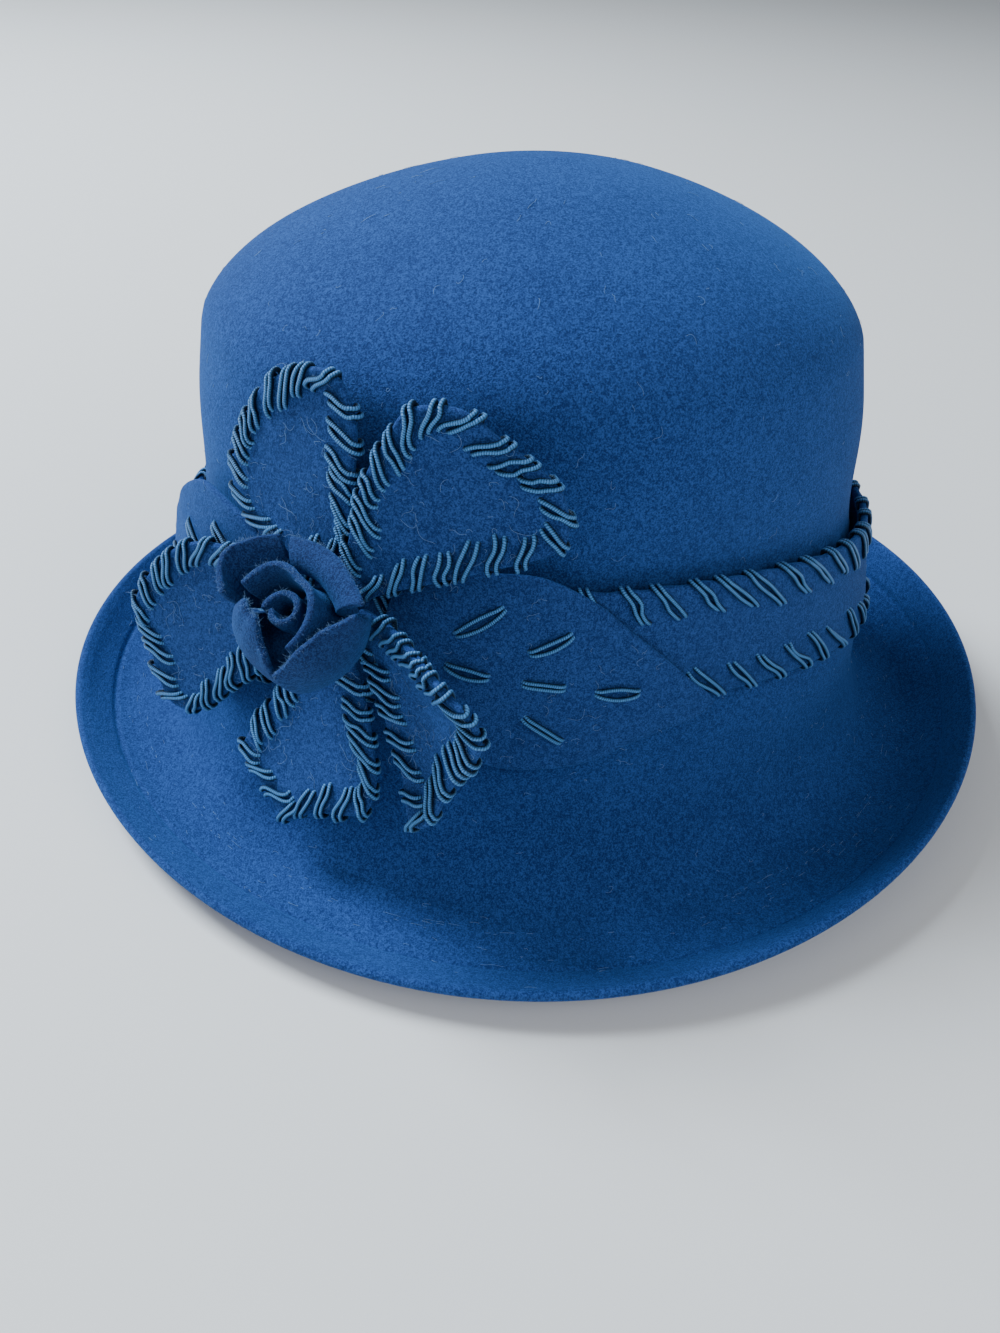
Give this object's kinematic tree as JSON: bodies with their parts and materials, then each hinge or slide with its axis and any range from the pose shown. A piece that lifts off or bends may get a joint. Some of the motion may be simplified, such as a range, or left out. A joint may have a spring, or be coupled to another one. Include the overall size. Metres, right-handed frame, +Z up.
{
  "type": "cloche hat",
  "caption": "Wool felt cloche hat with a tall rounded crown, a rolled brim, a stitched felt band, two leaves and a felt flower with a rolled rose at its heart.",
  "frame": {"origin": "centre of the bounding box at the level of the surface that the hat rests on", "axes": "+Z up, +Y towards the back of the hat, -Y towards its front, +X towards the wearer's left side, where the flower sits"},
  "size_m": [0.2752, 0.2828, 0.1554],
  "materials": {
    "felt": "matt, mottled wool felt"
  },
  "bodies": {
    "root": {"hat_body": "felt", "hat_band": "felt", "leaf_back": "felt", "leaf_front": "felt", "petal_1": "felt", "petal_2": "felt", "petal_3": "felt", "petal_4": "felt", "petal_5": "felt", "rose_petal_1": "felt", "rose_petal_2": "felt", "rose_petal_3": "felt", "rose_petal_4": "felt", "rose_petal_5": "felt", "rose_bud": "felt"}
  },
  "joints": []
}
